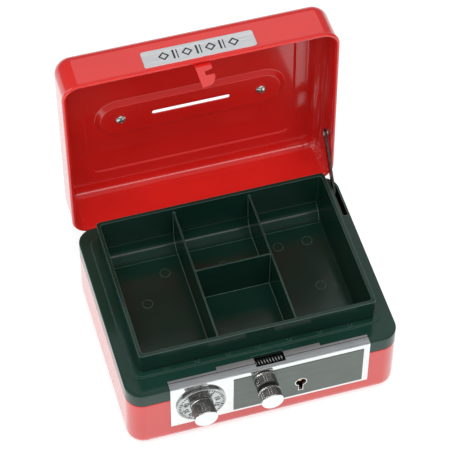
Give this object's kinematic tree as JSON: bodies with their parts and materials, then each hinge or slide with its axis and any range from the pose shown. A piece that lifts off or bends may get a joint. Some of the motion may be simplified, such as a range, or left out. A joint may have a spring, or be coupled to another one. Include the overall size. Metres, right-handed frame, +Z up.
{
  "type": "cash box",
  "caption": "Small hinged steel cash box with a lift-out divided coin tray, folding carry handle, lid stay, and a front lock plate with combination dial, release knob and keyhole.",
  "frame": {"origin": "centre of the underside of the base, on the surface the box stands on", "axes": "+Z up, +Y from the lock plate towards the hinge, +X to the right when the lock plate is seen from the front"},
  "size_m": [0.1534, 0.1729, 0.1612],
  "materials": {
    "red_paint": "gloss",
    "dark_plastic": "gloss",
    "silver_label": "satin",
    "chrome_plate": "polished",
    "grey_inlay": "satin",
    "zinc_steel": "satin",
    "bright_steel": "satin",
    "brass_metal": "satin",
    "black_plastic": "matte"
  },
  "bodies": {
    "base": {"base_shell": "red_paint", "frame_screws": "bright_steel", "top_frame": "dark_plastic", "hinge_pin_left": "bright_steel", "hinge_pin_right": "bright_steel", "lock_plate": "chrome_plate", "lock_faceplate": "grey_inlay", "knob_bushing": "chrome_plate", "lock_case": "zinc_steel", "lock_nuts": "bright_steel", "fence_pivot": "bright_steel", "bolt_guide_studs": "bright_steel", "key_bolt_studs": "bright_steel", "lever_pivot": "bright_steel", "drill_pin": "brass_metal", "spacer_washers": "bright_steel", "latch_spring": "bright_steel"},
    "tray": {"coin_tray": "dark_plastic"},
    "lid": {"lid_shell": "red_paint", "lid_tongue": "red_paint", "lid_label": "silver_label", "hinge_leaf_left": "zinc_steel", "hinge_leaf_right": "zinc_steel", "handle_post_left": "black_plastic", "handle_post_right": "black_plastic", "handle_screws": "bright_steel", "stay_rivet": "bright_steel"},
    "handle": {"handle_bail": "chrome_plate"},
    "stay": {"stay_arm": "zinc_steel"},
    "dial": {"dial_disc": "chrome_plate", "dial_knob": "chrome_plate", "dial_spindle": "bright_steel", "drive_wheel": "brass_metal"},
    "middle_disc": {"middle_wheel": "brass_metal"},
    "rear_disc": {"rear_wheel": "brass_metal"},
    "fence": {"fence_lever": "zinc_steel"},
    "release": {"release_knob": "chrome_plate", "release_spindle": "bright_steel"},
    "latch": {"latch_bolt": "zinc_steel"},
    "key_slide": {"key_bolt": "zinc_steel"},
    "key_lever_1": {"key_lever_front": "brass_metal"},
    "key_lever_2": {"key_lever_rear": "brass_metal"}
  },
  "joints": [
    {"name": "lid_hinge", "type": "hinge", "parent": "base", "child": "lid", "pos_m": [0, 0.057, 0.0449], "axis": [-1, 0, 0], "range_deg": [-91.5, 0]},
    {"name": "stay_pivot", "type": "hinge", "parent": "lid", "child": "stay", "pos_m": [0.0734, 0.06954, 0.07308], "axis": [-1, 0, 0], "range_deg": [-0.5, 16]},
    {"name": "tray_lift", "type": "slide", "parent": "base", "child": "tray", "axis": [0, 0, 1], "range_m": [0, 0.05]},
    {"name": "handle_swing", "type": "hinge", "parent": "lid", "child": "handle", "pos_m": [0, 0.09374, 0.09956], "axis": [1, 0, 0], "range_deg": [0, 177]},
    {"name": "dial_spin", "type": "hinge", "parent": "base", "child": "dial", "pos_m": [-0.0365, -0.056, 0.031], "axis": [0, 1, 0], "continuous": true},
    {"name": "middle_disc_spin", "type": "hinge", "parent": "base", "child": "middle_disc", "pos_m": [-0.0365, -0.056, 0.031], "axis": [0, 1, 0], "continuous": true},
    {"name": "rear_disc_spin", "type": "hinge", "parent": "base", "child": "rear_disc", "pos_m": [-0.0365, -0.056, 0.031], "axis": [0, 1, 0], "continuous": true},
    {"name": "fence_drop", "type": "hinge", "parent": "base", "child": "fence", "pos_m": [-0.0205, -0.05, 0.0175], "axis": [0, -1, 0], "range_deg": [0, 9.5]},
    {"name": "release_turn", "type": "hinge", "parent": "base", "child": "release", "pos_m": [-0.0012, -0.058, 0.04], "axis": [0, 1, 0], "range_deg": [0, 42]},
    {"name": "latch_slide", "type": "slide", "parent": "base", "child": "latch", "axis": [-1, 0, 0], "range_m": [0, 0.005], "deforming": ["latch_spring"]},
    {"name": "key_bolt_slide", "type": "slide", "parent": "base", "child": "key_slide", "axis": [0, 0, 1], "range_m": [0, 0.003]},
    {"name": "key_lever_1_pivot", "type": "hinge", "parent": "base", "child": "key_lever_1", "pos_m": [0.0315, -0.053, 0.0205], "axis": [0, 1, 0], "range_deg": [0, 4.2]},
    {"name": "key_lever_2_pivot", "type": "hinge", "parent": "base", "child": "key_lever_2", "pos_m": [0.0315, -0.052, 0.0205], "axis": [0, 1, 0], "range_deg": [0, 5.2]}
  ],
  "couplings": [
    {"joint": "stay_pivot", "follows": "lid_hinge", "ratio": -0.17},
    {"joint": "middle_disc_spin", "follows": "dial_spin", "ratio": 1},
    {"joint": "rear_disc_spin", "follows": "dial_spin", "ratio": 1},
    {"joint": "latch_slide", "follows": "release_turn", "m_per_rad": 0.0068},
    {"joint": "key_lever_1_pivot", "follows": "key_bolt_slide", "rad_per_m": 23.271},
    {"joint": "key_lever_2_pivot", "follows": "key_bolt_slide", "rad_per_m": 29.089}
  ]
}
